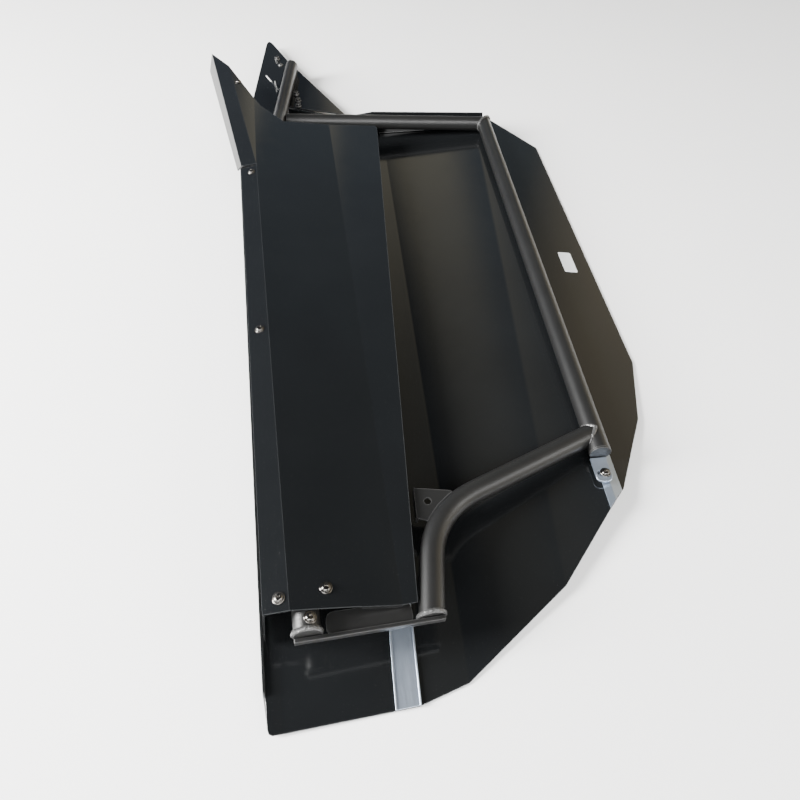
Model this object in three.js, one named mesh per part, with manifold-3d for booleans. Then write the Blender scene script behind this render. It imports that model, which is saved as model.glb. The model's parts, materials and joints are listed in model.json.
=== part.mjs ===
// Off-road vehicle door: folded outer skin, tube frame, folded inner panel and a rear ear with a hook latch.
// Millimetres. The door lies on its outer skin: X runs from the belt edge (x = 0) to the sill,
// Y runs from the front end to the rear ear, Z is up from the floor towards the cabin side.
import * as THREE from 'three';
import { mergeVertices } from 'three/addons/utils/BufferGeometryUtils.js';
import Module from 'manifold-3d';

const wasm = await Module();
wasm.setup();

// ---------------------------------------------------------------- driving dimensions
const SKIN_T = 2; // outer skin sheet
const PANEL_T = 2; // inner panel sheet
const TUBE_OD = 25.4; // one inch round tube
const TUBE_WALL = 2.1;
const TUBE_R = TUBE_OD / 2;
const FRAME_Z = 35; // axis height of the rear and sill tubes
const GAP = 0.3; // clearance wherever one piece is fitted against another
const TUBE_SIDES = 24;

const XY = (x, y) => new THREE.Vector2(x, y);
const V = (x, y, z) => new THREE.Vector3(x, y, z);
const UP = V(0, 0, 1);

// ---------------------------------------------------------------- materials
const finish = (color, roughness, metalness) => new THREE.MeshStandardMaterial({ color, roughness, metalness });
const satinBlack = finish(0x141517, 0.28, 0.3);
const texturedBlack = finish(0x1b1b1d, 0.6, 0.3);
const stainless = finish(0xb9bab8, 0.25, 0.9);
const weldBlack = finish(0x232326, 0.45, 0.4);
const zinc = finish(0x8f9396, 0.4, 0.8);
const labelWhite = finish(0xe9eaea, 0.5, 0);

const group = new THREE.Group();
group.name = 'utv_door';

function addMesh(name, geometry, material) {
  const mesh = new THREE.Mesh(geometry, material);
  mesh.name = name;
  group.add(mesh);
  return mesh;
}

// ---------------------------------------------------------------- booleans
function toManifold(geometry) {
  const bare = new THREE.BufferGeometry();
  bare.setAttribute('position', geometry.getAttribute('position').clone());
  if (geometry.index) bare.setIndex(geometry.index.clone());
  const welded = mergeVertices(bare, 1e-4);
  return new wasm.Manifold(new wasm.Mesh({
    numProp: 3,
    vertProperties: new Float32Array(welded.getAttribute('position').array),
    triVerts: new Uint32Array(welded.index.array),
  }));
}

function toGeometry(manifold) {
  const mesh = manifold.getMesh();
  const indexed = new THREE.BufferGeometry();
  indexed.setAttribute('position', new THREE.BufferAttribute(new Float32Array(mesh.vertProperties), 3));
  indexed.setIndex(new THREE.BufferAttribute(new Uint32Array(mesh.triVerts), 1));
  const flat = indexed.toNonIndexed();
  flat.computeVertexNormals();
  return flat;
}

function cut(geometry, ...tools) {
  return toGeometry(tools.reduce((solid, tool) => solid.subtract(toManifold(tool)), toManifold(geometry)));
}

// As cut, keeping only the largest piece that is left.
function cutToOne(geometry, ...tools) {
  const left = tools.reduce((solid, tool) => solid.subtract(toManifold(tool)), toManifold(geometry));
  const pieces = left.decompose().sort((a, b) => b.volume() - a.volume());
  return toGeometry(pieces[0]);
}

function unite(first, ...others) {
  return toGeometry(others.reduce((solid, other) => solid.add(toManifold(other)), toManifold(first)));
}

// ---------------------------------------------------------------- shapes
// A solid rod from a to b.
function rod(a, b, radius, sides = TUBE_SIDES) {
  const length = a.distanceTo(b);
  const geometry = new THREE.CylinderGeometry(radius, radius, length, sides);
  geometry.rotateX(Math.PI / 2);
  geometry.applyQuaternion(new THREE.Quaternion().setFromUnitVectors(UP, b.clone().sub(a).normalize()));
  const middle = a.clone().add(b).multiplyScalar(0.5);
  return geometry.translate(middle.x, middle.y, middle.z);
}

// A flat plate: outline in plan, top face at zTop.
function plate(outline, zTop, thickness, holes = []) {
  const shape = new THREE.Shape(outline);
  shape.holes.push(...holes);
  const geometry = new THREE.ExtrudeGeometry(shape, { depth: thickness, bevelEnabled: false, curveSegments: 6 });
  return geometry.translate(0, 0, zTop - thickness);
}

// Outline of a slot of the given width from a to b, both end centres.
function slotOutline(a, b, width, steps = 8) {
  const heading = Math.atan2(b.y - a.y, b.x - a.x);
  const points = [];
  for (const [centre, from] of [[b, heading - Math.PI / 2], [a, heading + Math.PI / 2]]) {
    for (let i = 0; i <= steps; i++) {
      const angle = from + (Math.PI * i) / steps;
      points.push(XY(centre.x + (width / 2) * Math.cos(angle), centre.y + (width / 2) * Math.sin(angle)));
    }
  }
  return points;
}

// Rounds every corner of a closed outline whose radius is above zero.
function roundedOutline(corners, steps = 4) {
  const points = [];
  corners.forEach(([x, y, radius = 0], i) => {
    const corner = XY(x, y);
    if (radius === 0) {
      points.push(corner);
      return;
    }
    const [px, py] = corners[(i + corners.length - 1) % corners.length];
    const [nx, ny] = corners[(i + 1) % corners.length];
    const back = XY(px, py).sub(corner).normalize();
    const ahead = XY(nx, ny).sub(corner).normalize();
    const half = Math.acos(THREE.MathUtils.clamp(back.dot(ahead), -1, 1)) / 2;
    const tangent = radius / Math.tan(half);
    const start = corner.clone().addScaledVector(back, tangent);
    const end = corner.clone().addScaledVector(ahead, tangent);
    const arc = new THREE.QuadraticBezierCurve(start, corner, end);
    points.push(...arc.getPoints(steps));
  });
  return points;
}

// A curve through straight runs joined by bends; each corner is [point, tangent length of its bend].
function bentPath(start, corners, end) {
  const path = new THREE.CurvePath();
  let from = start;
  corners.forEach(([corner, tangent], i) => {
    const next = i + 1 < corners.length ? corners[i + 1][0] : end;
    const enter = corner.clone().add(from.clone().sub(corner).setLength(tangent));
    const leave = corner.clone().add(next.clone().sub(corner).setLength(tangent));
    path.add(new THREE.LineCurve3(from, enter));
    path.add(new THREE.QuadraticBezierCurve3(enter, corner, leave));
    from = leave;
  });
  path.add(new THREE.LineCurve3(from, end));
  return path;
}

// A round bar or, with a bore, a tube swept along a path.
function sweep(path, steps, radius, bore = 0) {
  const shape = new THREE.Shape().absarc(0, 0, radius, 0, Math.PI * 2);
  if (bore > 0) shape.holes.push(new THREE.Path().absarc(0, 0, bore, 0, Math.PI * 2, true));
  return new THREE.ExtrudeGeometry(shape, {
    steps, extrudePath: path, bevelEnabled: false, curveSegments: TUBE_SIDES / 2,
  });
}

// A sheet folded from flat facets that share corner points. Facets run anticlockwise seen from the top;
// the thickness goes below. Where facets meet, the lower corner is where their lower faces meet.
function foldedSheet(corners, facets, thickness) {
  const names = Object.keys(corners);
  const top = names.map((name) => V(...corners[name]));
  const index = Object.fromEntries(names.map((name, i) => [name, i]));
  const faces = facets.map((facet) => facet.map((name) => index[name]));
  const normals = faces.map((face) => {
    const normal = V(0, 0, 0);
    face.forEach((at, i) => normal.add(top[at].clone().cross(top[face[(i + 1) % face.length]])));
    return normal.normalize();
  });
  const bottom = top.map((point, at) => {
    const touching = normals.filter((_, f) => faces[f].includes(at));
    return point.clone().add(lowerCorner(touching, thickness));
  });
  const vertices = [...top, ...bottom];
  const triangles = [];
  const open = new Map();
  faces.forEach((face, f) => {
    const side = new THREE.Matrix4().lookAt(normals[f], V(0, 0, 0), V(0.3, 1, 0.2)).invert();
    const flat = face.map((at) => top[at].clone().applyMatrix4(side)).map((p) => XY(p.x, p.y));
    for (const triangle of anticlockwise(THREE.ShapeUtils.triangulateShape(flat, []), flat)) {
      const [i, j, k] = triangle.map((at) => face[at]);
      triangles.push([i, j, k], [k + top.length, j + top.length, i + top.length]);
    }
    face.forEach((at, i) => {
      const to = face[(i + 1) % face.length];
      if (open.has(`${to},${at}`)) open.delete(`${to},${at}`);
      else open.set(`${at},${to}`, [at, to]);
    });
  });
  for (const [a, b] of open.values()) {
    triangles.push([a, a + top.length, b + top.length], [a, b + top.length, b]);
  }
  const geometry = new THREE.BufferGeometry();
  geometry.setAttribute('position', new THREE.Float32BufferAttribute(vertices.flatMap((p) => p.toArray()), 3));
  geometry.setIndex(triangles.flat());
  return geometry;
}

// The same triangles, all turned to run anticlockwise in the plane.
function anticlockwise(triangles, points) {
  const area = triangles.reduce((sum, [a, b, c]) => sum + points[b].clone().sub(points[a])
    .cross(points[c].clone().sub(points[a])), 0);
  return area > 0 ? triangles : triangles.map(([a, b, c]) => [a, c, b]);
}

// The step from a top corner to the matching lower corner: as near as can be to the given depth
// below each facet that meets there.
function lowerCorner(normals, depth) {
  const step = V(0, 0, 0);
  for (let pass = 0; pass < 60; pass++) {
    for (const normal of normals) step.addScaledVector(normal, -(depth + step.dot(normal)));
  }
  return step;
}

// The height at (x, y) of the plane through three points.
function planeHeight(p, q, r) {
  const normal = q.clone().sub(p).cross(r.clone().sub(p));
  return (x, y) => p.z - (normal.x * (x - p.x) + normal.y * (y - p.y)) / normal.z;
}

// Removes everything on the far side of the plane through a point, facing along the normal.
function trimBeyond(geometry, point, normal) {
  const block = new THREE.BoxGeometry(160, 160, 160).translate(0, 0, 80);
  block.applyQuaternion(new THREE.Quaternion().setFromUnitVectors(UP, normal.clone().normalize()));
  return cut(geometry, block.translate(point.x, point.y, point.z));
}

// A bead that follows a closed loop of points round a centre.
function ringBead(points, centre, radius, sides = 8) {
  const positions = [];
  const index = [];
  points.forEach((point, i) => {
    const count = points.length;
    const tangent = points[(i + 1) % count].clone().sub(points[(i + count - 1) % count]).normalize();
    const outward = point.clone().sub(centre);
    outward.addScaledVector(tangent, -outward.dot(tangent)).normalize();
    const side = tangent.clone().cross(outward);
    for (let j = 0; j < sides; j++) {
      const angle = (2 * Math.PI * j) / sides;
      const at = point.clone().addScaledVector(outward, radius * Math.cos(angle));
      positions.push(...at.addScaledVector(side, radius * Math.sin(angle)).toArray());
      const a = i * sides + j;
      const b = i * sides + ((j + 1) % sides);
      const c = ((i + 1) % count) * sides + j;
      const d = ((i + 1) % count) * sides + ((j + 1) % sides);
      index.push(a, b, c, b, d, c);
    }
  });
  const geometry = new THREE.BufferGeometry();
  geometry.setAttribute('position', new THREE.Float32BufferAttribute(positions, 3));
  geometry.setIndex(index);
  // A loop that runs the other way round makes the bead inside out.
  return toManifold(geometry).volume() > 0 ? geometry : geometry.setIndex(index.reverse());
}

// Points round a tube end: the circle of the given radius about the axis.
function circlePoints(centre, axis, radius, count = 24) {
  const across = axis.clone().cross(UP).normalize();
  const rise = across.clone().cross(axis).normalize();
  return Array.from({ length: count }, (_, i) => {
    const angle = (2 * Math.PI * i) / count;
    return centre.clone().addScaledVector(across, radius * Math.cos(angle))
      .addScaledVector(rise, radius * Math.sin(angle));
  });
}

// ---------------------------------------------------------------- outer skin
// The skin is level in the middle, rises a little towards the belt and more towards a ridge under the
// sill tube, and falls away beyond that ridge.
// Its creases run along these plan lines, [from, to], front to rear.
const CREASES = {
  lip: [XY(3, 15), XY(3, 1070)],
  front: [XY(117, 15), XY(199, 989)],
  middle: [XY(180, 26), XY(262, 1000)],
  side: [XY(303, 98), XY(440, 960)],
  ridge: [XY(394, 236), XY(465, 1000)],
};
const RISE = { lip: 0.08, front: 0.02, middle: 0.0775, side: 0.04, ridge: -0.2895 };

// Distance in plan to the right of a line.
function rightOf([from, to], x, y) {
  const along = to.clone().sub(from).normalize();
  return (x - from.x) * along.y - (y - from.y) * along.x;
}

function skinHeight(x, y) {
  let z = SKIN_T;
  for (const crease of ['middle', 'side', 'ridge']) {
    z += RISE[crease] * Math.max(0, rightOf(CREASES[crease], x, y));
  }
  for (const crease of ['lip', 'front']) {
    z += RISE[crease] * Math.max(0, -rightOf(CREASES[crease], x, y));
  }
  return z;
}

// Where a crease line crosses the line through a and b.
function creaseMeets([from, to], a, b) {
  const along = to.clone().sub(from);
  const edge = b.clone().sub(a);
  const t = ((from.x - a.x) * along.y - (from.y - a.y) * along.x) / (edge.x * along.y - edge.y * along.x);
  return a.clone().addScaledVector(edge, t);
}

const FRONT_Y = 15;
const SILL_FRONT = XY(378, 168);
const SILL_STRIP = XY(405.5, 192);
const FLANGE_SILL = XY(466, 1017); // rear flange, sill end
const FLANGE_KNEE = XY(250, 1060.6); // rear flange, where it turns back towards the ear
const EAR_FOOT = XY(200, 1106);
const EAR_ROOT = XY(89, 1162);
const REAR_FLANGE_TOP = 45;
const EAR_Z = 19.6; // top face of the ear plate
const EAR_T = 2;

function outerSkin() {
  const ridgeFront = creaseMeets(CREASES.ridge, SILL_FRONT, SILL_STRIP);
  const ridgeRear = creaseMeets(CREASES.ridge, FLANGE_SILL, FLANGE_KNEE);
  const plan = {
    frontA: XY(-13, 22),
    frontB: XY(-11.8, 17),
    frontC: XY(-8.5, FRONT_Y),
    lipFront: CREASES.lip[0],
    stripFront: CREASES.front[0],
    frontStep: XY(129, FRONT_Y),
    frontMiddle: CREASES.middle[0],
    frontSide: CREASES.side[0],
    sillFront: SILL_FRONT,
    ridgeFront,
    sillStrip: SILL_STRIP,
    sillBelly: XY(470, 288),
    sillWide: XY(506.5, 383),
    sillRear: XY(556, 946),
    rearCorner: XY(488.5, 1045),
    ridgeRear,
    sideRear: creaseMeets(CREASES.side, FLANGE_SILL, FLANGE_KNEE),
    middleRear: creaseMeets(CREASES.middle, FLANGE_SILL, FLANGE_KNEE),
    knee: FLANGE_KNEE,
    stripRear: creaseMeets(CREASES.front, FLANGE_KNEE, EAR_FOOT),
    earFoot: EAR_FOOT,
    earRoot: EAR_ROOT,
    lipRear: XY(3, 1150),
    beltRear: XY(-13, 1140),
    hemRear: XY(-13.4, 1110),
    hemFront: XY(-13.4, 48),
  };
  const corners = {};
  for (const [name, p] of Object.entries(plan)) corners[name] = [p.x, p.y, skinHeight(p.x, p.y)];
  const flangeTop = (p, z) => [p.x, p.y, z];
  corners.hemRearTop = [-13, 1106, 11];
  corners.hemFrontTop = [-13, 52, 11];
  corners.flangeTopSill = flangeTop(ridgeRear.clone().lerp(FLANGE_KNEE, 0.02), REAR_FLANGE_TOP);
  corners.flangeTopKnee = flangeTop(FLANGE_KNEE, REAR_FLANGE_TOP);
  corners.earFootTop = flangeTop(EAR_FOOT, EAR_Z - EAR_T - GAP);
  corners.earRootTop = flangeTop(EAR_ROOT, EAR_Z - EAR_T - GAP);
  const facets = [
    ['frontA', 'frontB', 'frontC', 'lipFront', 'lipRear', 'beltRear', 'hemRear', 'hemFront'],
    ['lipFront', 'stripFront', 'stripRear', 'earFoot', 'earRoot', 'lipRear'],
    ['stripFront', 'frontStep', 'frontMiddle', 'middleRear', 'knee', 'stripRear'],
    ['frontMiddle', 'frontSide', 'sideRear', 'middleRear'],
    ['frontSide', 'sillFront', 'ridgeFront', 'ridgeRear', 'sideRear'],
    ['ridgeFront', 'sillStrip', 'sillBelly', 'sillWide', 'sillRear', 'rearCorner', 'ridgeRear'],
    ['hemFront', 'hemRear', 'hemRearTop', 'hemFrontTop'],
    ['ridgeRear', 'flangeTopSill', 'flangeTopKnee', 'knee', 'middleRear', 'sideRear'],
    ['earFoot', 'stripRear', 'knee', 'flangeTopKnee', 'earFootTop'],
    ['earRoot', 'earFoot', 'earFootTop', 'earRootTop'],
  ];
  return foldedSheet(corners, facets, SKIN_T);
}
addMesh('outer_skin', outerSkin(), satinBlack);

// A sheet patch that lies on one facet of the skin, its top face lifted above the skin.
function patchOnSkin(outline, lift, thickness) {
  const corners = {};
  outline.forEach((p, i) => {
    corners[`p${i}`] = [p.x, p.y, skinHeight(p.x, p.y) + lift + thickness];
  });
  return foldedSheet(corners, [Object.keys(corners)], thickness);
}

// ---------------------------------------------------------------- strips and label
const STRIP_T = 1.5;

// Shallow channel on the level part of the skin, its two edges turned up.
function frontStrip() {
  const width = 25;
  const lip = 3;
  const length = 290;
  const profile = [
    XY(-width / 2, lip), XY(-width / 2, 0), XY(width / 2, 0), XY(width / 2, lip),
    XY(width / 2 - STRIP_T, lip), XY(width / 2 - STRIP_T, STRIP_T),
    XY(-width / 2 + STRIP_T, STRIP_T), XY(-width / 2 + STRIP_T, lip),
  ];
  const geometry = new THREE.ExtrudeGeometry(new THREE.Shape(profile), { depth: length, bevelEnabled: false });
  const slant = new THREE.Matrix4().makeShear(0, 0, 0.088, 0, 0, 0);
  return geometry.rotateX(Math.PI / 2).translate(0, length, 0).applyMatrix4(slant);
}
const frontStripMesh = addMesh('front_strip', frontStrip(), zinc);
frontStripMesh.position.set(118.4, FRONT_Y + GAP, SKIN_T + 2 * GAP);

// Strip folded over the skin's ridge, under the whole sill tube.
const NARROW = 0.7; // the belt side of the strip is narrower than its other side
function sillStrip() {
  const half = 12;
  const across = CREASES.ridge[1].clone().sub(CREASES.ridge[0]).normalize();
  const offset = (p, d) => XY(p.x + across.y * d, p.y - across.x * d);
  const middleFront = creaseMeets(CREASES.ridge, SILL_FRONT, SILL_STRIP).add(across);
  const middleRear = creaseMeets(CREASES.ridge, FLANGE_SILL, FLANGE_KNEE).addScaledVector(across, -12);
  const slant = SILL_STRIP.clone().sub(SILL_FRONT).normalize();
  const reach = half / Math.abs(slant.cross(across));
  const lift = (p) => [p.x, p.y, skinHeight(p.x, p.y) + GAP + STRIP_T];
  const corners = {
    frontLeft: lift(middleFront.clone().addScaledVector(slant, -reach * NARROW)),
    frontMiddle: lift(middleFront),
    frontRight: lift(middleFront.clone().addScaledVector(slant, reach)),
    rearLeft: lift(offset(middleRear, -half * NARROW)),
    rearMiddle: lift(middleRear),
    rearRight: lift(offset(middleRear, half)),
  };
  return foldedSheet(corners, [
    ['frontLeft', 'frontMiddle', 'rearMiddle', 'rearLeft'],
    ['frontMiddle', 'frontRight', 'rearRight', 'rearMiddle'],
  ], STRIP_T);
}
addMesh('sill_strip', sillStrip(), zinc);

const LABEL = { x: 489.5, y: 597, width: 21, length: 48, corner: 3, heading: -0.0926 };
function blankLabel() {
  const { x, y, width, length, corner, heading } = LABEL;
  const outline = roundedOutline([
    [-width / 2, -length / 2, corner], [width / 2, -length / 2, corner],
    [width / 2, length / 2, corner], [-width / 2, length / 2, corner],
  ]);
  return patchOnSkin(outline.map((p) => p.rotateAround(XY(0, 0), heading).add(XY(x, y))), 0.2, 0.5);
}
addMesh('blank_label', blankLabel(), labelWhite);

// ---------------------------------------------------------------- tube frame
const BORE = TUBE_R - TUBE_WALL;
const SILL_HEADING = V(0.0926, 1, 0).normalize();
const REAR_HEADING = V(1, -0.2176, 0).normalize();
const SILL_END = V(388.9, 234.5, FRAME_Z);
const CORNER = V(459.4, 995.5, FRAME_Z);
const REAR_END = V(84, 1077.2, FRAME_Z); // it stops against the belt tube
const ACROSS_MITRE = SILL_HEADING.clone().sub(REAR_HEADING).normalize(); // from sill tube to rear tube

function straightTube(from, to) {
  return sweep(new THREE.LineCurve3(from, to), 1, TUBE_R, BORE);
}

function mitredTube(end, heading, facing) {
  const beyond = CORNER.clone().addScaledVector(heading, 30);
  return trimBeyond(straightTube(end, beyond), CORNER.clone().addScaledVector(facing, -GAP / 2), facing);
}
addMesh('sill_tube', mitredTube(SILL_END, SILL_HEADING, ACROSS_MITRE), texturedBlack);
// The belt tube runs level under the panel, then dips to the ear and runs along it.
const CAP_T = 2;
const TUBE_FRONT = 80.1; // where the belt and cross tubes end, just behind their caps
const BELT_END = V(110, 1315, FRAME_Z);
const BELT_PATH = bentPath(
  V(37.1, TUBE_FRONT, 70),
  [[V(38.5, 850, 75), 70], [V(72, 1102, FRAME_Z), 70]],
  BELT_END,
);
const beltRod = (grow) => sweep(BELT_PATH, 26, TUBE_R + grow);
addMesh('rear_tube', cutToOne(
  mitredTube(REAR_END, REAR_HEADING, ACROSS_MITRE.clone().negate()), beltRod(GAP),
), texturedBlack);

// The cross tube leaves the sill tube, climbs and bends forward to the front bar.
const CROSS_START = V(391.4, 261.3, FRAME_Z);
const CROSS_END = V(151.5, 74, 53.2);
const CROSS_PATH = bentPath(CROSS_START, [[V(176.8, 188.1, 46), 55]], CROSS_END);
const sillRod = (grow) => rod(
  SILL_END.clone().addScaledVector(SILL_HEADING, -30),
  CORNER.clone(),
  TUBE_R + grow,
);
const crossRod = (grow) => sweep(CROSS_PATH, 22, TUBE_R + grow);
const FORWARD = V(0, -1, 0);
addMesh('cross_tube', trimBeyond(
  cut(sweep(CROSS_PATH, 22, TUBE_R, BORE), sillRod(GAP)), V(152, TUBE_FRONT, 53), FORWARD,
), texturedBlack);

// Thin discs welded over the open tube ends.
function tubeCap(end, outward) {
  const inner = end.clone().addScaledVector(outward, GAP);
  return rod(inner, inner.clone().addScaledVector(outward, CAP_T), TUBE_R);
}
const EAR_TUBE_DIRECTION = V(38, 213, 0).normalize();
const SILL_TUBE_DIRECTION = SILL_HEADING.clone().negate();
const BELT_FRONT = V(37.1, TUBE_FRONT, 70);
const CROSS_FRONT = V(152.7, TUBE_FRONT, 52.9);
addMesh('ear_tube_cap', tubeCap(BELT_END, EAR_TUBE_DIRECTION), texturedBlack);
addMesh('sill_tube_cap', tubeCap(SILL_END, SILL_TUBE_DIRECTION), texturedBlack);
addMesh('belt_tube_cap', tubeCap(BELT_FRONT, FORWARD), texturedBlack);
addMesh('cross_tube_cap', tubeCap(CROSS_FRONT, FORWARD), texturedBlack);

// ---------------------------------------------------------------- front bar, gussets and bracket
const BAR = { x: 94.5, y: 75.5, z: 58.1, length: 141, depth: 4, height: 8, tilt: 0.0868 };
const barBox = (grow) => new THREE.BoxGeometry(BAR.length + grow, BAR.depth + grow, BAR.height + grow)
  .rotateY(BAR.tilt).translate(BAR.x, BAR.y, BAR.z);
addMesh('front_bar', barBox(0), texturedBlack);

// Flat plate with rounded ends that braces the two tube ends against the front bar.
const gussetOutline = roundedOutline([
  [-41, -9.5, 5], [41, -9.5, 5], [41, 10.5, 9], [-41, 10.5, 9],
]);
const frontGusset = addMesh('front_gusset', plate(gussetOutline, 1.5, 3), texturedBlack);
frontGusset.position.set(94.5, 87.4, 57);
frontGusset.rotation.y = 0.115;

// Corner bracket outside the cross tube's bend, its free edge folded down.
function cornerBracket() {
  const z = 50;
  const corners = {
    foldFront: [159.6, 183.1, z],
    foldRear: [163.1, 219.1, z],
    rear: [201.7, 209.3, z],
    bendRear: [208, 200, z],
    bendFront: [181, 172, z],
    front: [170, 178, z],
    hemFront: [158.4, 184.5, z - 13],
    hemRear: [161.6, 217.5, z - 13],
  };
  const sheet = foldedSheet(corners, [
    ['foldFront', 'front', 'bendFront', 'bendRear', 'rear', 'foldRear'],
    ['foldFront', 'foldRear', 'hemRear', 'hemFront'],
  ], 2.5);
  return cut(sheet, crossRod(GAP), rod(V(174.8, 200.7, 40), V(174.8, 200.7, 60), 4));
}
addMesh('corner_bracket', cornerBracket(), texturedBlack);

// Flat tab out of the sill tube's end, slotted for the screw that holds it to the skin's ridge.
const TAB = { x: 385.5, y: 214.5, top: 28, thickness: 3, width: 19 };
function sillTab() {
  const outline = roundedOutline([
    [-TAB.width / 2, -15, 8], [TAB.width / 2, -15, 8], [TAB.width / 2, 17, 0], [-TAB.width / 2, 17, 0],
  ], 6);
  const slot = new THREE.Path(slotOutline(XY(-3.5, -4), XY(2.5, -4), 6.5));
  return plate(outline, 0, TAB.thickness, [slot]);
}
const tab = addMesh('sill_tab', sillTab(), zinc);
tab.position.set(TAB.x, TAB.y, TAB.top);
tab.rotation.z = -0.0926;

// ---------------------------------------------------------------- inner panel
const panelSlope = planeHeight(V(24.4, 105.8, 89), V(127.1, 91.5, 62), V(29.8, 1052.6, 95));
const sillSlope = planeHeight(
  V(127.1, 91.5, panelSlope(127.1, 91.5)),
  V(159.3, 996.8, panelSlope(159.3, 996.8)),
  V(248, 988, 50),
);
const finRoot = V(25.2, 829, panelSlope(25.2, 829));
const finFoldTip = V(-12.7, 1178.8, 102);
const finEdgeRoot = V(-0.1, 834.5, 89.5);
const finSlope = planeHeight(finRoot, V(29.8, 1052.6, panelSlope(29.8, 1052.6)), finFoldTip);
const finOuterSlope = planeHeight(finRoot, finFoldTip, finEdgeRoot);
const flangeSlope = planeHeight(
  V(25, 96, panelSlope(25, 96)), V(25.1, 823, panelSlope(25.1, 823)), V(0, 98, 84),
);

// The fourth corner of a flat four-sided facet whose other corners are a, b and c, at a known y and z.
function cornerInPlane(a, b, c, y, z) {
  const normal = b.clone().sub(a).cross(c.clone().sub(a));
  return [a.x - (normal.y * (y - a.y) + normal.z * (z - a.z)) / normal.x, y, z];
}

// The lower corner of a fold that hangs straight down from a panel edge.
const dropped = (point) => [point.x, point.y, point.z - 6];

function innerPanel() {
  const on = (slope, x, y) => [x, y, slope(x, y)];
  const corners = {
    frontBelt: on(panelSlope, 25, 96),
    frontMid: on(panelSlope, 88, 93.4),
    frontCrease: on(panelSlope, 127.1, 91.5),
    rearCrease: on(panelSlope, 159.3, 996.8),
    rearA: on(panelSlope, 123, 991),
    rearB: on(panelSlope, 77.4, 982.4),
    rearC: on(panelSlope, 40, 1027),
    rearBelt: on(panelSlope, 29.8, 1052.6),
    finRoot: finRoot.toArray(),
    foldRear: on(panelSlope, 25.1, 823),
    sillFront: on(sillSlope, 141.7, 92.1),
    sillRear: on(sillSlope, 248, 988),
    sillRearIn: on(sillSlope, 245, 996.5),
    finFoldTip: finFoldTip.toArray(),
    finTip: on(finOuterSlope, -47, 1252),
    finEdgeRoot: finEdgeRoot.toArray(),
    flangeRear: on(flangeSlope, -0.5, 826),
    flangeFront: on(flangeSlope, 0, 98),
  };
  const at = (name) => V(...corners[name]);
  corners.finLipTip = [-55, 1216, 80];
  corners.finLipRoot = cornerInPlane(at('finEdgeRoot'), at('finTip'), at('finLipTip'), 840, 79);
  corners.sideFront = [-11.5, 98, 12];
  corners.sideRear = cornerInPlane(at('flangeFront'), at('flangeRear'), at('sideFront'), 823, 12);
  corners.hemFront = dropped(at('sillFront').lerp(at('sillRear'), 0.003));
  corners.hemRear = dropped(at('sillFront').lerp(at('sillRear'), 0.997));
  corners.noseMid = dropped(at('frontMid').lerp(at('frontCrease'), 0.04));
  corners.noseCrease = dropped(at('frontMid').lerp(at('frontCrease'), 0.96));
  return foldedSheet(corners, [
    ['frontBelt', 'frontMid', 'frontCrease', 'rearCrease', 'rearA', 'rearB', 'rearC', 'rearBelt',
      'finRoot', 'foldRear'],
    ['frontCrease', 'sillFront', 'sillRear', 'sillRearIn', 'rearCrease'],
    ['finRoot', 'rearBelt', 'finFoldTip'],
    ['finRoot', 'finFoldTip', 'finTip', 'finEdgeRoot'],
    ['finEdgeRoot', 'finTip', 'finLipTip', 'finLipRoot'],
    ['frontBelt', 'foldRear', 'flangeRear', 'flangeFront'],
    ['flangeFront', 'flangeRear', 'sideRear', 'sideFront'],
    ['sillRear', 'sillFront', 'hemFront', 'hemRear'],
    ['frontCrease', 'frontMid', 'noseMid', 'noseCrease'],
  ], PANEL_T);
}

// ---------------------------------------------------------------- screws
const SCREW = { flange: 6.1, flangeT: 1.2, head: 4.4, height: 3, shank: 2.5, socket: 1.9, depth: 1.8 };

// Flanged button-head screw, seated at the origin and pointing down.
function buttonScrew(length) {
  const profile = [
    XY(0, -length), XY(SCREW.shank, -length), XY(SCREW.shank, 0), XY(SCREW.flange, 0),
    XY(SCREW.flange, SCREW.flangeT * 0.6), XY(SCREW.flange - 0.6, SCREW.flangeT),
    XY(SCREW.head, SCREW.flangeT), XY(SCREW.head * 0.93, SCREW.height * 0.7),
    XY(SCREW.head * 0.72, SCREW.height * 0.93), XY(SCREW.head * 0.5, SCREW.height), XY(0, SCREW.height),
  ];
  const body = new THREE.LatheGeometry(profile, 20).rotateX(Math.PI / 2);
  const socket = new THREE.CylinderGeometry(SCREW.socket, SCREW.socket, SCREW.depth * 2, 6)
    .rotateX(Math.PI / 2).translate(0, 0, SCREW.height);
  return cut(body, socket);
}

// Unit vector that stands up from the slope at (x, y).
function uprightOf(slope, x, y) {
  return V(slope(x, y) - slope(x + 1, y), slope(x, y) - slope(x, y + 1), 1).normalize();
}

function addScrew(name, seat, up, length, material = stainless) {
  const mesh = addMesh(name, buttonScrew(length), material);
  mesh.position.copy(seat).addScaledVector(up, GAP);
  mesh.quaternion.setFromUnitVectors(UP, up);
}

const PANEL_SCREWS = {
  screw_fin: [finSlope, 3, 1113.6],
  screw_flange_rear: [flangeSlope, 16.5, 808],
  screw_flange_mid: [flangeSlope, 14.1, 453.7],
  screw_flange_front: [flangeSlope, 16, 109.5],
  screw_panel_front: [panelSlope, 58.7, 114],
};
const SHANK_HOLE = SCREW.shank + GAP;
const panelHoles = [];
for (const [name, [slope, x, y]] of Object.entries(PANEL_SCREWS)) {
  const seat = V(x, y, slope(x, y));
  const up = uprightOf(slope, x, y);
  addScrew(name, seat, up, 8);
  panelHoles.push(rod(seat.clone().addScaledVector(up, -6), seat.clone().addScaledVector(up, 6), SHANK_HOLE, 16));
}
addMesh('inner_panel', cut(innerPanel(), ...panelHoles), satinBlack);

addScrew('screw_sill_tab', V(TAB.x + 2, TAB.y - 4.2, TAB.top), UP, 5);

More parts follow.
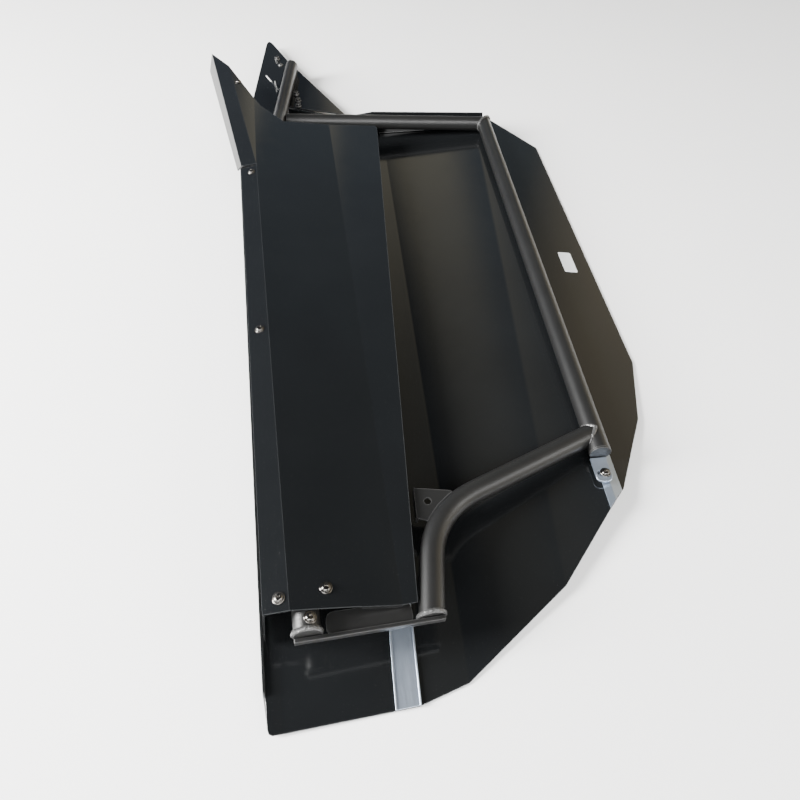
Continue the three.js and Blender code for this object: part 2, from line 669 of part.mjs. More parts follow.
// This screw goes into the top of the belt tube, just in front of the panel.
const beltScrewUp = V(0.4, 0, 1).normalize();
const beltScrewSeat = V(37.1, 89, 70.1).addScaledVector(beltScrewUp, TUBE_R);
addScrew('screw_belt_tube', beltScrewSeat, beltScrewUp, 7);
addMesh('belt_tube', cut(
  sweep(BELT_PATH, 26, TUBE_R, BORE),
  rod(beltScrewSeat.clone().addScaledVector(beltScrewUp, -9), beltScrewSeat.clone().addScaledVector(beltScrewUp, 6),
    SHANK_HOLE, 16),
), texturedBlack);

// ---------------------------------------------------------------- ear plate and its bracket
const RELEASE = { from: XY(51.1, 1318.7), to: XY(75.5, 1242.1), slot: 3.6 };
const releaseAlong = RELEASE.to.clone().sub(RELEASE.from).normalize();
const EAR_BOLTS = [XY(110.2, 1215.2), XY(112, 1185.6), XY(110.8, 1162.5)];
const TIP_BOLT = XY(80.8, 1393.5);
const TIP_SCREW = XY(86.4, 1362.9);
const circleHole = (at, radius) => new THREE.Path().absarc(at.x, at.y, radius, 0, Math.PI * 2, true);

function earPlate() {
  const outline = roundedOutline([
    [-3, 1075], [60, 1075], [75, 1125], [89.5, 1166], [201, 1112], [123.1, 1327.8], [104.6, 1380.5],
    [66, 1516, 9], [22, 1229.2],
  ]);
  return plate(outline, EAR_Z, EAR_T, [
    new THREE.Path(slotOutline(RELEASE.from, RELEASE.to, RELEASE.slot)),
    ...EAR_BOLTS.map((at) => circleHole(at, SHANK_HOLE)),
    circleHole(TIP_BOLT, SHANK_HOLE),
    circleHole(TIP_SCREW, SHANK_HOLE),
  ]);
}
addMesh('ear_plate', earPlate(), satinBlack);

// Saddle plate between the ear plate and the tube.
const earBracketOutline = roundedOutline([
  [59.6, 1143.5, 4], [87.5, 1150, 4], [121.5, 1318.4, 6], [93.6, 1331.1, 6],
]);
addMesh('ear_bracket', plate(earBracketOutline, EAR_Z + GAP + 2, 2), texturedBlack);

// ---------------------------------------------------------------- latch under the ear plate
const UNDER_EAR = EAR_Z - EAR_T - GAP; // highest point of anything held under the ear plate
const LATCH_PLATE = { bottom: 2.6, thickness: 2.5 };
const LATCH_FLOOR = LATCH_PLATE.bottom + LATCH_PLATE.thickness + GAP;
const LEVER_PIVOT = EAR_BOLTS[0];
const ROTOR_PIVOT = XY(139, 1217);
const ROTOR_RADIUS = 17;
const MOUTH = XY(0.9475, 0.3196); // the way the striker leaves the latch
const MOUTH_WIDTH = 11;

// Outline of a mouth cut: a slot open along MOUTH, from its closed end out past the plate.
function mouthOutline(depthFromPivot, reach) {
  const closed = ROTOR_PIVOT.clone().addScaledVector(MOUTH, depthFromPivot);
  return slotOutline(closed, closed.clone().addScaledVector(MOUTH, reach), MOUTH_WIDTH);
}

function latchPlate() {
  const outline = roundedOutline([
    [103, 1160, 3], [126, 1149, 5], [166, 1192, 6], [152, 1240, 6], [101, 1240, 6],
  ]);
  const blank = plate(outline, LATCH_PLATE.bottom + LATCH_PLATE.thickness, LATCH_PLATE.thickness,
    EAR_BOLTS.map((at) => circleHole(at, SHANK_HOLE)));
  return cut(blank, plate(mouthOutline(10, 60), LATCH_PLATE.bottom + 10, 20));
}
addMesh('latch_plate', latchPlate(), zinc);

function latchRotor() {
  const disc = rod(V(ROTOR_PIVOT.x, ROTOR_PIVOT.y, 8), V(ROTOR_PIVOT.x, ROTOR_PIVOT.y, 13), ROTOR_RADIUS, 32);
  const bore = rod(V(ROTOR_PIVOT.x, ROTOR_PIVOT.y, 0), V(ROTOR_PIVOT.x, ROTOR_PIVOT.y, 20), 4 + GAP, 20);
  return cut(disc, bore, plate(mouthOutline(11, 60), 20, 20));
}
addMesh('latch_rotor', latchRotor(), zinc);
addMesh('rotor_pivot', rod(
  V(ROTOR_PIVOT.x, ROTOR_PIVOT.y, LATCH_FLOOR), V(ROTOR_PIVOT.x, ROTOR_PIVOT.y, UNDER_EAR), 4, 20,
), stainless);

// Trip lever: a long arm the release pushes and a short arm that reaches towards the rotor's rim.
const PEG = { radius: 3, at: RELEASE.from.clone().lerp(RELEASE.to, 0.8) };
const LEVER_HALF = 4;
const LEVER_PLAY = 1.6; // free play between the lever and what it touches
function tripLever() {
  const reach = PEG.at.clone().sub(LEVER_PIVOT);
  const swing = Math.atan2(reach.y, reach.x) + Math.asin((PEG.radius + LEVER_HALF + LEVER_PLAY) / reach.length());
  const armEnd = LEVER_PIVOT.clone().add(XY(Math.cos(swing), Math.sin(swing)).multiplyScalar(reach.length() + 4));
  const toRotor = ROTOR_PIVOT.clone().sub(XY(1, -1).normalize().multiplyScalar(ROTOR_RADIUS + LEVER_PLAY + LEVER_HALF));
  const bar = (to) => plate(slotOutline(LEVER_PIVOT, to, LEVER_HALF * 2), 13, 5);
  const hub = rod(V(LEVER_PIVOT.x, LEVER_PIVOT.y, 8), V(LEVER_PIVOT.x, LEVER_PIVOT.y, 13), 7.5);
  const bore = rod(V(LEVER_PIVOT.x, LEVER_PIVOT.y, 0), V(LEVER_PIVOT.x, LEVER_PIVOT.y, 20), SHANK_HOLE, 16);
  return cut(unite(bar(armEnd), bar(toRotor), hub), bore);
}
addMesh('trip_lever', tripLever(), zinc);

// Release slide: a bar under the slot, an upright blade that stands out of it and a peg that meets the lever.
const BLADE = { thickness: 2.4, from: 0.7, to: 0.82, height: 12 };
function releaseSlide() {
  const onSlot = (t) => RELEASE.from.clone().lerp(RELEASE.to, t);
  const bar = plate(slotOutline(onSlot(0.45), onSlot(0.85), 12), UNDER_EAR, 3);
  const peg = rod(V(PEG.at.x, PEG.at.y, 8), V(PEG.at.x, PEG.at.y, UNDER_EAR - 1), PEG.radius, 20);
  const foot = onSlot(BLADE.from);
  const run = onSlot(BLADE.to).distanceTo(foot);
  const profile = [
    XY(0, UNDER_EAR - 1), XY(run, UNDER_EAR - 1), XY(run, EAR_Z + 2), XY(run * 0.7, EAR_Z + BLADE.height),
    XY(run * 0.4, EAR_Z + BLADE.height), XY(0, EAR_Z + 2),
  ];
  const blade = new THREE.ExtrudeGeometry(new THREE.Shape(profile), { depth: BLADE.thickness, bevelEnabled: false })
    .translate(0, 0, -BLADE.thickness / 2);
  const along = V(releaseAlong.x, releaseAlong.y, 0);
  blade.applyMatrix4(new THREE.Matrix4().makeBasis(along, UP, along.clone().cross(UP)));
  return unite(bar, blade.translate(foot.x, foot.y, 0), peg);
}
addMesh('release_slide', releaseSlide(), zinc);

// ---------------------------------------------------------------- ear bolts
// Hexagon bolt with a round washer face, seated at the origin and pointing down.
function hexBolt(length) {
  const washer = rod(V(0, 0, 0), V(0, 0, 1.4), 6.4);
  const head = new THREE.CylinderGeometry(5.5, 5.5, 5, 6).rotateX(Math.PI / 2).translate(0, 0, 3.5);
  return unite(washer, head, rod(V(0, 0, -length), V(0, 0, 1), SCREW.shank, 16));
}
EAR_BOLTS.forEach((at, i) => {
  const bolt = addMesh(`ear_bolt_${i + 1}`, hexBolt(EAR_Z - LATCH_PLATE.bottom), zinc);
  bolt.position.set(at.x, at.y, EAR_Z + GAP);
});
const tipBolt = addMesh('ear_tip_bolt', hexBolt(9), zinc);
tipBolt.position.set(TIP_BOLT.x, TIP_BOLT.y, EAR_Z + GAP);
addScrew('screw_ear_tip', V(TIP_SCREW.x, TIP_SCREW.y, EAR_Z), UP, 9, zinc);

// ---------------------------------------------------------------- weld beads
const BEAD = 2.6;

// Ring on the mitre between the rear and sill tubes.
function cornerBead() {
  const along = V(0, 0, 1).cross(ACROSS_MITRE).normalize();
  const stretch = TUBE_R / Math.abs(SILL_HEADING.clone().cross(along).length());
  const points = Array.from({ length: 28 }, (_, i) => {
    const angle = (2 * Math.PI * i) / 28;
    return CORNER.clone().addScaledVector(along, stretch * Math.cos(angle))
      .add(V(0, 0, TUBE_R * Math.sin(angle)));
  });
  const solid = (end, heading, facing) => trimBeyond(
    rod(end, CORNER.clone().addScaledVector(heading, 30), TUBE_R + GAP),
    CORNER.clone().addScaledVector(facing, GAP),
    facing,
  );
  return cutToOne(
    ringBead(points, CORNER, BEAD),
    solid(SILL_END, SILL_HEADING, ACROSS_MITRE),
    solid(REAR_END, REAR_HEADING, ACROSS_MITRE.clone().negate()),
  );
}
addMesh('weld_rear_corner', cornerBead(), weldBlack);

// Ring where the cross tube meets the sill tube.
function crossBead() {
  const axis = V(-0.947, -0.322, 0).normalize();
  const across = SILL_HEADING;
  const points = Array.from({ length: 28 }, (_, i) => {
    const angle = (2 * Math.PI * i) / 28;
    return CROSS_START.clone().addScaledVector(across, TUBE_R * Math.cos(angle))
      .addScaledVector(UP, TUBE_R * Math.sin(angle))
      .addScaledVector(axis, TUBE_R * Math.max(0.12, Math.abs(Math.cos(angle))));
  });
  const ring = ringBead(points, CROSS_START.clone().addScaledVector(axis, TUBE_R * 0.5), BEAD);
  const aboveStrip = trimBeyond(ring, V(CROSS_START.x, CROSS_START.y, FRAME_Z - TUBE_R + 0.4), V(0, 0, -1));
  return cutToOne(aboveStrip, sillRod(GAP), crossRod(GAP));
}
addMesh('weld_cross_sill', crossBead(), weldBlack);

// Rings round the tube ends at the front bar.
function endBead(end, ...tube) {
  const ring = ringBead(circlePoints(end, FORWARD, TUBE_R), end, BEAD);
  const behind = end.clone().addScaledVector(FORWARD, -4);
  const core = rod(behind, end.clone().addScaledVector(FORWARD, CAP_T + 2 * GAP), TUBE_R + GAP);
  return cutToOne(ring, ...tube, core, barBox(2 * GAP));
}
addMesh('weld_cross_front', endBead(CROSS_FRONT, crossRod(GAP)), weldBlack);
addMesh('weld_belt_front', endBead(BELT_FRONT), weldBlack);

// ---------------------------------------------------------------- frame
// The origin goes to the middle of the overall footprint, at the lowest point.
const overall = new THREE.Box3().setFromObject(group);
const middle = overall.getCenter(new THREE.Vector3());
group.position.set(-middle.x, -middle.y, -overall.min.z);

export default group;
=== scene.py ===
import json
import math

import bmesh
import bpy
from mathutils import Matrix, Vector


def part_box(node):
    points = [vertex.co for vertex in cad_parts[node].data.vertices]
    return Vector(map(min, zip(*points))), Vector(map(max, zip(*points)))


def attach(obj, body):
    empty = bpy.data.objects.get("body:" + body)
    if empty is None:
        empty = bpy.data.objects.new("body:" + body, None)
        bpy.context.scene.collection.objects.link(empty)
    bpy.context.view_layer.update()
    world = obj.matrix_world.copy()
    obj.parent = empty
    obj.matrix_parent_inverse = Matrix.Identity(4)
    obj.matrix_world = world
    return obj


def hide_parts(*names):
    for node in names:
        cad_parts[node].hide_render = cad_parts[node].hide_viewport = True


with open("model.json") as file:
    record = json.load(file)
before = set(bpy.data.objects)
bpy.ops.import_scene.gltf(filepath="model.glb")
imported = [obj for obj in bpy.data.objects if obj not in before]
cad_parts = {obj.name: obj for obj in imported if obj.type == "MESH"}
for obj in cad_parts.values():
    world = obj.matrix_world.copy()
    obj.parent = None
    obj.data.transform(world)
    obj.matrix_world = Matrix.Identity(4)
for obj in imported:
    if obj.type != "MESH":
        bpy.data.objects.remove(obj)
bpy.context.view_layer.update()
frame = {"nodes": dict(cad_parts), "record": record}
nodes = frame["nodes"]

# ---------------------------------------------------------------- shared measures, metres
MM = 0.001
TUBE_R = 12.7 * MM
BORE_R = 10.6 * MM
TUBE_SIDES = 56
SAME_CORNER = 2e-6  # corners nearer than this are one corner
FLAT_ANGLE = 0.6  # degrees: facets that turn less than this are one flat face
FOLD_ANGLE = 1.5  # degrees: edges that turn less than this stay sharp

# Plan positions below are given in millimetres from the door's own datum (belt edge, floor). The front
# bar's centre is known in that datum, so it fixes where the datum is in the frame.
BAR_LOW, BAR_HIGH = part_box("front_bar")
DATUM = (BAR_LOW + BAR_HIGH) / 2 - Vector((94.5, 75.5, 58.1)) * MM


def at(x, y, z):
    """A point given in millimetres from the door's datum."""
    return DATUM + Vector((x, y, z)) * MM


# ---------------------------------------------------------------- materials
class Graph:
    """Small helper round one material's node tree."""

    def __init__(self, name):
        self.material = bpy.data.materials.new(name)
        self.material.use_nodes = True
        self.tree = self.material.node_tree
        self.shader = self.tree.nodes["Principled BSDF"]
        self.coords = self.add("ShaderNodeTexCoord").outputs["Object"]

    def add(self, kind, **settings):
        node = self.tree.nodes.new(kind)
        for key, value in settings.items():
            if key in node.inputs:
                node.inputs[key].default_value = value
            else:
                setattr(node, key, value)
        return node

    def link(self, source, target):
        self.tree.links.new(source, target)

    def noise(self, scale, detail=3.0, roughness=0.5, stretch=None):
        node = self.add("ShaderNodeTexNoise")
        node.inputs["Scale"].default_value = scale
        node.inputs["Detail"].default_value = detail
        node.inputs["Roughness"].default_value = roughness
        coords = self.coords
        if stretch:
            mapping = self.add("ShaderNodeMapping")
            mapping.inputs["Scale"].default_value = stretch
            self.link(coords, mapping.inputs["Vector"])
            coords = mapping.outputs["Vector"]
        self.link(coords, node.inputs["Vector"])
        return node.outputs["Fac"]

    def ramp(self, source, low, high, start=0.0, end=1.0):
        """Maps source from [start, end] to values or colours from low to high."""
        node = self.add("ShaderNodeValToRGB")
        first, last = node.color_ramp.elements
        first.position, last.position = start, end
        first.color = low if isinstance(low, tuple) else (low, low, low, 1)
        last.color = high if isinstance(high, tuple) else (high, high, high, 1)
        self.link(source, node.inputs["Fac"])
        return node.outputs["Color"]

    def blend(self, factor, a, b, mode="MIX"):
        node = self.add("ShaderNodeMix", data_type="RGBA", blend_type=mode)
        if hasattr(factor, "links"):
            self.link(factor, node.inputs[0])
        else:
            node.inputs[0].default_value = factor
        for value, socket in ((a, node.inputs[6]), (b, node.inputs[7])):
            if hasattr(value, "links"):
                self.link(value, socket)
            else:
                socket.default_value = value
        return node.outputs[2]

    def bump(self, layers):
        """Stacks bumps from (height, strength, distance in metres) layers."""
        normal = None
        for height, strength, distance in layers:
            node = self.add("ShaderNodeBump")
            node.inputs["Strength"].default_value = strength
            node.inputs["Distance"].default_value = distance
            self.link(height, node.inputs["Height"])
            if normal:
                self.link(normal, node.inputs["Normal"])
            normal = node.outputs["Normal"]
        self.link(normal, self.shader.inputs["Normal"])

    def edges(self, radius, low, high):
        """White along convex edges: how far the bevelled normal leaves the true one. The materials use
        it to paint edges lighter, a painted glint on the edges together with wear.
        """
        bevel = self.add("ShaderNodeBevel", samples=4)
        bevel.inputs["Radius"].default_value = radius
        geometry = self.add("ShaderNodeNewGeometry")
        dot = self.add("ShaderNodeVectorMath", operation="DOT_PRODUCT")
        self.link(bevel.outputs["Normal"], dot.inputs[0])
        self.link(geometry.outputs["Normal"], dot.inputs[1])
        return self.ramp(dot.outputs["Value"], high, low, 0.93, 0.998)

    def dust(self, scale, cutoff):
        """Scattered small specks."""
        cells = self.add("ShaderNodeTexVoronoi")
        cells.inputs["Scale"].default_value = scale
        self.link(self.coords, cells.inputs["Vector"])
        return self.ramp(cells.outputs["Distance"], 1.0, 0.0, 0.0, cutoff)

    def set(self, **inputs):
        for key, value in inputs.items():
            socket = self.shader.inputs[key.replace("_", " ")]
            if hasattr(value, "links"):
                self.link(value, socket)
            else:
                socket.default_value = value
        return self.material


def grey(value, blue=0.0):
    return (value, value * (1 + blue * 0.5), value * (1 + blue), 1)


def sheet_black():
    """Smooth black powder coat on folded sheet: barely wavy, with fine peel and a little dust."""
    g = Graph("sheet_black")
    cloud = g.noise(9, 4)
    smudge = g.noise(38, 5, 0.6)
    specks = g.dust(420, 0.06)
    wear_and_edge_glint = g.edges(0.0012, 0.0, 1.0)
    base = g.blend(cloud, grey(0.004, 0.15), grey(0.006, 0.2))
    base = g.blend(g.ramp(specks, 0.0, 0.3), base, grey(0.22))
    # Painted highlight: convex edges are painted a lighter bluish grey, a painted glint on the raw sheet
    # edges together with edge wear.
    base = g.blend(g.ramp(wear_and_edge_glint, 0.0, 0.5), base, grey(0.07, 0.1))
    rough = g.blend(g.ramp(smudge, 0.0, 1.0, 0.35, 0.75), grey(0.08), grey(0.13))
    rough = g.blend(g.ramp(specks, 0.0, 1.0), rough, grey(0.8))
    g.bump([
        (g.noise(5.5, 2), 0.2, 0.0006),
        (g.noise(900, 2), 0.12, 0.0002),
        (specks, 0.3, 0.0002),
    ])
    return g.set(Base_Color=base, Roughness=rough, Metallic=0.0, Specular_IOR_Level=0.5)


def textured_black():
    """Fine-grained black powder coat on tubes and brackets."""
    g = Graph("textured_black")
    grain = g.noise(1500, 3, 0.6)
    coarse = g.noise(620, 3, 0.6)
    cloud = g.noise(30, 4)
    wear_and_edge_glint = g.edges(0.0012, 0.0, 1.0)
    base = g.blend(cloud, grey(0.005), grey(0.008))
    base = g.blend(g.ramp(grain, 0.0, 0.4, 0.6, 0.8), base, grey(0.03))
    # Painted highlight: convex edges such as the tube ends are painted lighter, a painted glint on the
    # rims together with edge wear.
    base = g.blend(g.ramp(wear_and_edge_glint, 0.0, 0.5), base, grey(0.09))
    rough = g.blend(coarse, grey(0.3), grey(0.46))
    g.bump([(coarse, 0.35, 0.0003), (grain, 0.45, 0.00025)])
    return g.set(Base_Color=base, Roughness=rough, Specular_IOR_Level=0.42)


def weld_black():
    """Powder-coated bead: the ripples of the weld show through the coat."""
    g = Graph("weld_black")
    ripple = g.noise(330, 2, 0.4)
    lump = g.noise(140, 3)
    base = g.blend(lump, grey(0.02), grey(0.06))
    rough = g.blend(ripple, grey(0.14), grey(0.3))
    g.bump([(ripple, 0.9, 0.0012), (lump, 0.7, 0.0015), (g.noise(1500, 2), 0.3, 0.0002)])
    return g.set(Base_Color=base, Roughness=rough)


def mill_aluminium():
    """Bare strips and tab: blue-grey, brushed along their length, with scuffs."""
    g = Graph("mill_aluminium")
    grain = g.noise(900, 3, 0.6, (1, 0.03, 1))
    blotch = g.noise(26, 5, 0.65)
    scuff = g.noise(210, 4, 0.7, (1, 0.25, 1))
    base = g.blend(blotch, (0.30, 0.36, 0.46, 1), (0.50, 0.56, 0.64, 1))
    base = g.blend(g.ramp(scuff, 0.0, 0.6, 0.62, 0.8), base, (0.16, 0.17, 0.19, 1))
    rough = g.blend(grain, grey(0.24), grey(0.42))
    g.bump([(grain, 0.25, 0.0003), (blotch, 0.3, 0.001)])
    return g.set(Base_Color=base, Roughness=rough, Metallic=0.9)


def bright_steel():
    """Stainless screw heads, darkened by handling, with edges painted brighter: a painted highlight
    standing in for the glint ring round each head.
    """
    g = Graph("bright_steel")
    turned = g.noise(1300, 3, 0.6)
    stain = g.noise(240, 4)
    base = g.blend(stain, (0.07, 0.068, 0.065, 1), (0.16, 0.15, 0.14, 1))
    # Painted highlight: the head edges are painted a bright warm steel, standing in for the glint ring
    # round each head.
    base = g.blend(g.edges(0.0003, 0.0, 0.35), base, (0.7, 0.62, 0.52, 1))
    rough = g.blend(turned, grey(0.16), grey(0.3))
    g.bump([(turned, 0.25, 0.0002), (stain, 0.2, 0.0004)])
    return g.set(Base_Color=base, Roughness=rough, Metallic=1.0)


def zinc_plate():
    """Zinc-plated latch parts, a little cloudy, with edges painted lighter: edge wear together with a
    painted glint.
    """
    g = Graph("zinc_plate")
    cloud = g.noise(120, 5, 0.65)
    fine = g.noise(1100, 2)
    wear_and_edge_glint = g.edges(0.001, 0.0, 1.0)
    base = g.blend(cloud, (0.36, 0.37, 0.38, 1), (0.62, 0.62, 0.60, 1))
    # Painted highlight: convex edges are painted near white, a painted glint together with edge wear.
    base = g.blend(g.ramp(wear_and_edge_glint, 0.0, 0.6), base, (0.8, 0.8, 0.78, 1))
    rough = g.blend(cloud, grey(0.28), grey(0.5))
    g.bump([(fine, 0.3, 0.0002), (cloud, 0.2, 0.0006)])
    return g.set(Base_Color=base, Roughness=rough, Metallic=1.0)


def black_oxide():
    """Blackened bolts with corners painted lighter: a painted glint on the nut corners together with
    wear.
    """
    g = Graph("black_oxide")
    cloud = g.noise(260, 4)
    wear_and_edge_glint = g.edges(0.0009, 0.0, 1.0)
    base = g.blend(cloud, grey(0.02), grey(0.05))
    # Painted highlight: the corners are painted light grey, a painted glint on the nut facets together
    # with wear.
    base = g.blend(g.ramp(wear_and_edge_glint, 0.0, 0.9), base, grey(0.35))
    rough = g.blend(cloud, grey(0.26), grey(0.45))
    g.bump([(g.noise(1500, 2), 0.35, 0.0002)])
    return g.set(Base_Color=base, Roughness=rough, Metallic=0.7)


def label_film():
    """Blank matte film with a faint print-free texture."""
    g = Graph("label_film")
    cloud = g.noise(160, 4)
    base = g.blend(cloud, (0.66, 0.68, 0.69, 1), (0.78, 0.79, 0.79, 1))
    rough = g.blend(g.noise(420, 3), grey(0.4), grey(0.6))
    g.bump([(g.noise(1300, 2), 0.2, 0.0001)])
    return g.set(Base_Color=base, Roughness=rough)


LOOK = {
    "skin_gloss": sheet_black(),
    "tube_powder": textured_black(),
    "weld": weld_black(),
    "strip": mill_aluminium(),
    "stainless": bright_steel(),
    "latch_zinc": zinc_plate(),
    "bolt_black": black_oxide(),
    "label": label_film(),
}
SLOT_OF = {entry["node"]: entry["material_slot"] for entry in frame["record"]["subparts"]}
BODY_OF = {
    node: body
    for body, members in frame["record"]["behaviour"]["bodies"].items()
    for node in members
}


# ---------------------------------------------------------------- pieces made from the frame
def finish_piece(piece, name, slot, body, stands_for=()):
    """Gives a new piece its name, look, slot and body."""
    piece.name = name
    piece.data.name = name
    piece.data.materials.clear()
    piece.data.materials.append(LOOK[slot])
    for polygon in piece.data.polygons:
        polygon.use_smooth = True
    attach(piece, body)
    if stands_for:
        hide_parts(*stands_for)
    return piece


def new_piece(mesh_data):
    piece = bpy.data.objects.new("piece", mesh_data)
    bpy.context.scene.collection.objects.link(piece)
    return piece


def mesh_copy(node):
    """A bmesh of a CAD node with doubled corners merged and flat facets joined."""
    bm = bmesh.new()
    bm.from_mesh(nodes[node].data)
    bmesh.ops.remove_doubles(bm, verts=bm.verts, dist=SAME_CORNER)
    bmesh.ops.dissolve_limit(bm, angle_limit=math.radians(FLAT_ANGLE), verts=bm.verts, edges=bm.edges)
    return bm


def rounding(piece, limit, width, segments):
    """Adds the bevel that rounds a piece's edges."""
    bevel = piece.modifiers.new("rounded", "BEVEL")
    bevel.limit_method = limit
    bevel.width = width
    bevel.segments = segments
    return bevel


def flat_faces_first(piece):
    """Lets the large flat faces rule the shading, so only the rounded edges shade as curved."""
    weigh = piece.modifiers.new("flat_faces", "WEIGHTED_NORMAL")
    weigh.mode = "FACE_AREA"
    weigh.weight = 100
    weigh.keep_sharp = False


def bevelled(node, fold, edge, thin=3.1 * MM):
    """A copy of a CAD node with rounded folds and softened sheet edges.

    An edge beside a face narrower than thin is a sheet edge and gets the small radius.
    Any other edge that turns is a fold and gets the large one."""
    mesh = bpy.data.meshes.new(node)
    bm = mesh_copy(node)
    weight = bm.edges.layers.float.new("bevel_weight_edge")
    widest = max(fold, edge)
    for e in bm.edges:
        if len(e.link_faces) != 2 or e.calc_face_angle(0) < math.radians(FOLD_ANGLE):
            continue
        widths = [f.calc_area() / max(other.calc_length() for other in f.edges) for f in e.link_faces]
        e[weight] = (edge if min(widths) < thin else fold) / widest
    bm.to_mesh(mesh)
    bm.free()
    piece = new_piece(mesh)
    rounding(piece, "WEIGHT", widest, 3)
    flat_faces_first(piece)
    return finish_piece(piece, "v_" + node, SLOT_OF[node], BODY_OF[node], (node,))


def smoothed(node, edge, angle=32):
    """A copy of a CAD node with every sharp edge slightly rounded."""
    mesh = bpy.data.meshes.new(node)
    bm = mesh_copy(node)
    bm.to_mesh(mesh)
    bm.free()
    piece = new_piece(mesh)
    rounding(piece, "ANGLE", edge, 2).angle_limit = math.radians(angle)
    flat_faces_first(piece)
    return finish_piece(piece, "v_" + node, SLOT_OF[node], BODY_OF[node], (node,))


for sheet in ("outer_skin", "inner_panel"):
    bevelled(sheet, 2.2 * MM, 0.45 * MM)
bevelled("sill_strip", 1.2 * MM, 0.3 * MM, 0.0018)
bevelled("front_strip", 0.7 * MM, 0.35 * MM, 0.0018)
bevelled("corner_bracket", 1.6 * MM, 0.5 * MM)
for solid in ("ear_plate", "ear_bracket", "sill_tab", "front_gusset", "front_bar"):
    smoothed(solid, 0.5 * MM)
for solid in ("latch_plate", "latch_rotor", "trip_lever", "release_slide", "rotor_pivot", "ear_tube_cap",
              "sill_tube_cap", "belt_tube_cap", "cross_tube_cap"):
    smoothed(solid, 0.35 * MM)
for name in sorted(nodes):
    if name.startswith(("screw_", "ear_bolt_", "ear_tip_bolt", "weld_")):
        smoothed(name, 0.25 * MM, 38)
smoothed("blank_label", 0.1 * MM)


# ---------------------------------------------------------------- tubes
def bent_points(start, corners, end, steps=14):
    """Centre line through straight runs and bends; each corner is (point, tangent length)."""
    points = [start]
    before = start
    for i, (corner, tangent) in enumerate(corners):
        after = corners[i + 1][0] if i + 1 < len(corners) else end
        enter = corner + (before - corner).normalized() * tangent
        leave = corner + (after - corner).normalized() * tangent
        for step in range(steps + 1):
            t = step / steps
            points.append(enter * (1 - t) ** 2 + corner * 2 * t * (1 - t) + leave * t ** 2)
        before = leave
    points.append(end)
    return points


def tube(name, points, cuts=()):
    """A hollow tube along a centre line.

    Cuts are (point, normal) planes that remove what lies beyond them."""
    bm = bmesh.new()
    rings = {TUBE_R: [], BORE_R: []}
    side = None
    for i, point in enumerate(points):
        along = (points[min(i + 1, len(points) - 1)] - points[max(i - 1, 0)]).normalized()
        seed = side or Vector((0, 0, 1))
        side = (seed - along * seed.dot(along)).normalized()
        other = along.cross(side)
        for radius, loops in rings.items():
            loops.append([
                bm.verts.new(point + (side * math.cos(a) + other * math.sin(a)) * radius)
                for a in (2 * math.pi * k / TUBE_SIDES for k in range(TUBE_SIDES))
            ])
    for radius, loops in rings.items():
        for one, two in zip(loops, loops[1:]):
            for k in range(TUBE_SIDES):
                m = (k + 1) % TUBE_SIDES
                quad = [one[k], one[m], two[m], two[k]]
                bm.faces.new(quad if radius == TUBE_R else quad[::-1])
    for end in (0, -1):
        outer, inner = rings[TUBE_R][end], rings[BORE_R][end]
        for k in range(TUBE_SIDES):
            m = (k + 1) % TUBE_SIDES
            quad = [outer[k], inner[k], inner[m], outer[m]]
            bm.faces.new(quad if end == 0 else quad[::-1])
    for point, normal in cuts:
        everything = bm.verts[:] + bm.edges[:] + bm.faces[:]
        bmesh.ops.bisect_plane(bm, geom=everything, plane_co=point, plane_no=normal, clear_outer=True)
    bmesh.ops.recalc_face_normals(bm, faces=bm.faces)
    mesh = bpy.data.meshes.new(name)
    bm.to_mesh(mesh)
    bm.free()
    piece = new_piece(mesh)
    bevel = rounding(piece, "ANGLE", 0.4 * MM, 2)
    bevel.angle_limit = math.radians(50)
    bevel.harden_normals = True
    return finish_piece(piece, "v_" + name, "tube_powder", "door", (name,))


FRAME_Z = 35  # axis height of the rear and sill tubes
TUBE_FRONT = 80.1  # where the cross and belt tubes end, just behind their caps
SPARE = 30 * MM  # extra tube past the mitre, cut off by it
BEND = 70 * MM
FORWARD = Vector((0, -1, 0))

corner = at(459.4, 995.5, FRAME_Z)
sill_end = at(388.9, 234.5, FRAME_Z)
rear_end = at(84, 1077.2, FRAME_Z)
sill_way = (corner - sill_end).normalized()
rear_way = (corner - rear_end).normalized()
across_mitre = (sill_way - rear_way).normalized()
tube("sill_tube", [sill_end, corner + sill_way * SPARE], [(corner, across_mitre)])
tube("rear_tube", [rear_end, corner + rear_way * SPARE], [(corner, -across_mitre)])

cross_path = bent_points(
    at(391.4, 261.3, FRAME_Z), [(at(176.8, 188.1, 46), 55 * MM)], at(151.5, 74, 53.2),
)
tube("cross_tube", cross_path, [(at(152, TUBE_FRONT, 53), FORWARD)])

belt_path = bent_points(
    at(37.1, TUBE_FRONT, 70),
    [(at(38.5, 850, 75), BEND), (at(72, 1102, FRAME_Z), BEND)],
    at(110, 1315, FRAME_Z),
)
tube("belt_tube", belt_path)


# ---------------------------------------------------------------- stage
def area_light(name, place, size, power, colour=(1, 1, 1)):
    """A soft rectangular light that faces the middle of the floor."""
    light = bpy.data.lights.new(name, "AREA")
    light.shape = "RECTANGLE"
    light.size, light.size_y = size
    light.energy = power
    light.color = colour
    lamp = bpy.data.objects.new(name, light)
    bpy.context.scene.collection.objects.link(lamp)
    lamp.location = place
    lamp.rotation_euler = (-Vector(place)).to_track_quat("-Z", "Y").to_euler()


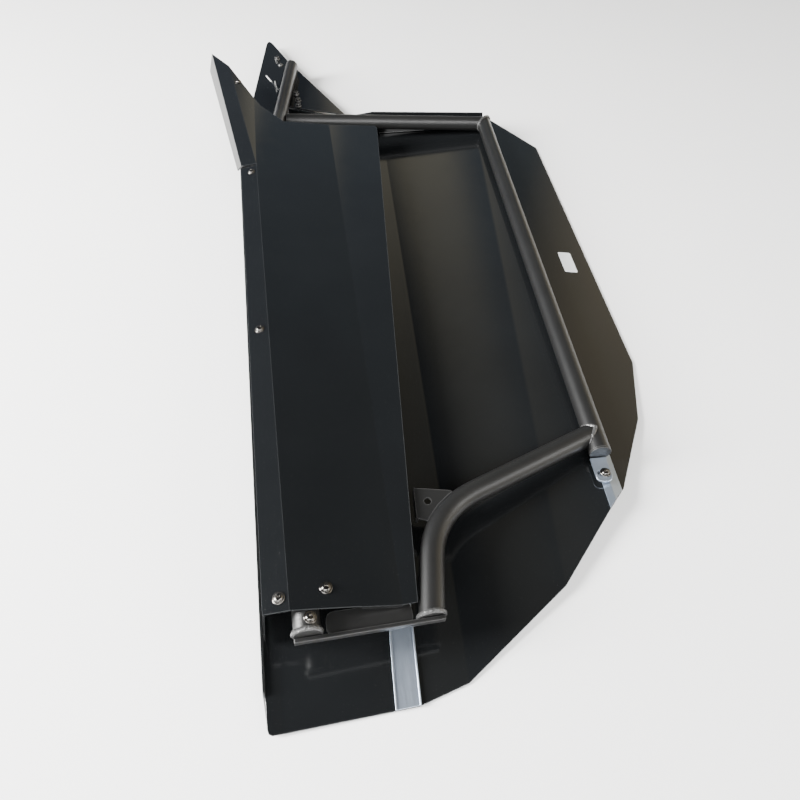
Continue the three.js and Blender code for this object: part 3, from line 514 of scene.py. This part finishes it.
def pale_floor():
    """A wide matt floor just under the door."""
    g = Graph("pale_floor")
    base = g.blend(g.noise(3, 3), (0.86, 0.86, 0.865, 1), (0.9, 0.9, 0.9, 1))
    g.bump([(g.noise(60, 3), 0.05, 0.0005)])
    material = g.set(Base_Color=base, Roughness=0.75)
    mesh = bpy.data.meshes.new("floor")
    reach = 9.0
    corners = [(-reach, -reach, 0), (reach, -reach, 0), (reach, reach, 0), (-reach, reach, 0)]
    mesh.from_pydata(corners, [], [(0, 1, 2, 3)])
    mesh.materials.append(material)
    floor = bpy.data.objects.new("floor", mesh)
    floor.location.z = -0.0005
    bpy.context.scene.collection.objects.link(floor)


# What the glossy sheets mirror, by how far right (+X) the mirrored direction points, from -1 to 1.
SKY_ACROSS = (
    (-1.0, (0.30, 0.38, 0.50)),
    (-0.35, (0.10, 0.13, 0.18)),
    (0.045, (0.10, 0.12, 0.15)),
    (0.085, (0.95, 0.88, 0.68)),
    (0.15, (0.90, 0.84, 0.66)),
    (0.19, (0.20, 0.25, 0.31)),
    (0.50, (0.20, 0.23, 0.25)),
    (0.62, (1.05, 0.90, 0.62)),
    (1.0, (1.9, 1.65, 1.2)),
)
# Brightness by how far up it points, from 0 at the horizon to 1 overhead.
SKY_UP = ((0.0, 1.0), (0.35, 1.0), (0.6, 0.8), (0.78, 0.42), (1.0, 0.12))


def sky():
    """Dim surroundings for the glossy sheets to mirror."""
    world = bpy.data.worlds.new("studio")
    world.use_nodes = True
    tree = world.node_tree
    background = tree.nodes["Background"]
    direction = tree.nodes.new("ShaderNodeTexCoord").outputs["Generated"]
    parts = tree.nodes.new("ShaderNodeSeparateXYZ")
    tree.links.new(direction, parts.inputs["Vector"])

    def ramp(source, stops):
        node = tree.nodes.new("ShaderNodeValToRGB")
        elements = node.color_ramp.elements
        while len(elements) < len(stops):
            elements.new(0.5)
        for element, (position, colour) in zip(elements, stops):
            element.position = position
            element.color = (*colour, 1)
        tree.links.new(source, node.inputs["Fac"])
        return node.outputs["Color"]

    across = tree.nodes.new("ShaderNodeMapRange")
    across.inputs["From Min"].default_value = -1
    tree.links.new(parts.outputs["X"], across.inputs["Value"])
    tint = ramp(across.outputs["Result"], [((x + 1) / 2, colour) for x, colour in SKY_ACROSS])
    height = ramp(parts.outputs["Z"], [(z, (value, value, value)) for z, value in SKY_UP])
    both = tree.nodes.new("ShaderNodeMix")
    both.data_type = "RGBA"
    both.blend_type = "MULTIPLY"
    both.inputs[0].default_value = 1
    tree.links.new(tint, both.inputs[6])
    tree.links.new(height, both.inputs[7])
    tree.links.new(both.outputs[2], background.inputs["Color"])
    background.inputs["Strength"].default_value = 0.95
    bpy.context.scene.world = world


pale_floor()
sky()
area_light("key_left", (-2.9, -0.2, 1.5), (1.0, 1.8), 700, (1.0, 0.99, 0.97))
area_light("front_left", (-1.3, -2.4, 1.7), (1.6, 0.8), 70)
area_light("front_right", (2.3, -1.7, 1.8), (1.2, 1.0), 45, (0.97, 0.98, 1.0))
area_light("behind_camera", (0.2, -2.2, 2.9), (2.2, 0.8), 110)

# ---------------------------------------------------------------- camera
camera = bpy.data.objects.new("camera", bpy.data.cameras.new("camera"))
camera.data.lens = 27
camera.data.sensor_width = 36
camera.data.clip_start = 0.01
camera.location = at(88.4, -100, 625)
camera.rotation_euler = (math.radians(38), 0, math.radians(-10.604))
bpy.context.scene.collection.objects.link(camera)
bpy.context.scene.camera = camera
